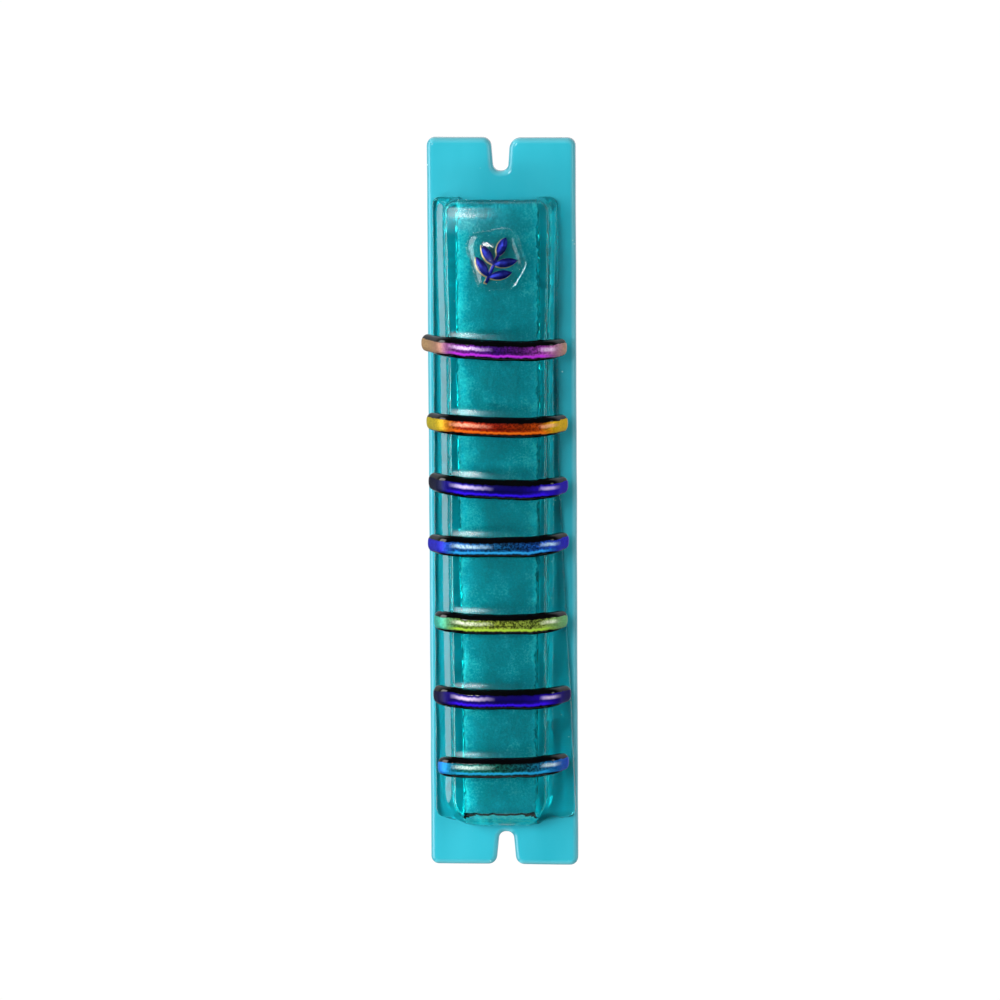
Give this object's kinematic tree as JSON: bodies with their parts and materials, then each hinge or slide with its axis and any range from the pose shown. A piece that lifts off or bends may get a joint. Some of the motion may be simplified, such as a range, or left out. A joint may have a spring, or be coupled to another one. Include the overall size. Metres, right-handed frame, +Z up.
{
  "type": "mezuzah case",
  "caption": "Flat fused-glass mezuzah case for a doorpost: a notched back plate, a raised clear cover with an open-topped pocket, draped dichroic bands, a cabochon and a sliding scroll.",
  "frame": {"origin": "centre of the flat back face that lies on the doorpost", "axes": "+Z up the length of the case, +Y back into the doorpost, +X to the right as seen from the front"},
  "size_m": [0.0323, 0.0168, 0.1524],
  "materials": {
    "plate_glass": "opaque, glossy, fire-polished",
    "cover_glass": "transparent, glossy outside, granular inside the pocket",
    "bar_glass": "opaque black, glossy",
    "clear_glass": "clear, glossy, domed",
    "foil": "blue-violet metallic foil with pale gold edges",
    "parchment": "matt, slightly fibrous",
    "dichroic_1": "magenta-violet dichroic, satin metallic",
    "dichroic_2": "red-orange dichroic, satin metallic",
    "dichroic_3": "indigo dichroic, satin metallic",
    "dichroic_4": "cyan-blue dichroic, satin metallic",
    "dichroic_5": "yellow-green dichroic, satin metallic",
    "dichroic_6": "dark indigo dichroic, satin metallic",
    "dichroic_7": "cyan-teal dichroic, satin metallic"
  },
  "bodies": {
    "case": {"back_plate": "plate_glass", "pocket_cover": "cover_glass", "band_1_glass": "bar_glass", "band_2_glass": "bar_glass", "band_3_glass": "bar_glass", "band_4_glass": "bar_glass", "band_5_glass": "bar_glass", "band_6_glass": "bar_glass", "band_7_glass": "bar_glass", "band_1_facing": "dichroic_1", "band_2_facing": "dichroic_2", "band_3_facing": "dichroic_3", "band_4_facing": "dichroic_4", "band_5_facing": "dichroic_5", "band_6_facing": "dichroic_6", "band_7_facing": "dichroic_7", "cabochon": "clear_glass", "foil_sprig": "foil"},
    "scroll": {"parchment_roll": "parchment"}
  },
  "joints": [
    {"name": "scroll_slide", "type": "slide", "parent": "case", "child": "scroll", "axis": [0, 0, 1], "range_m": [0, 0.142]}
  ]
}
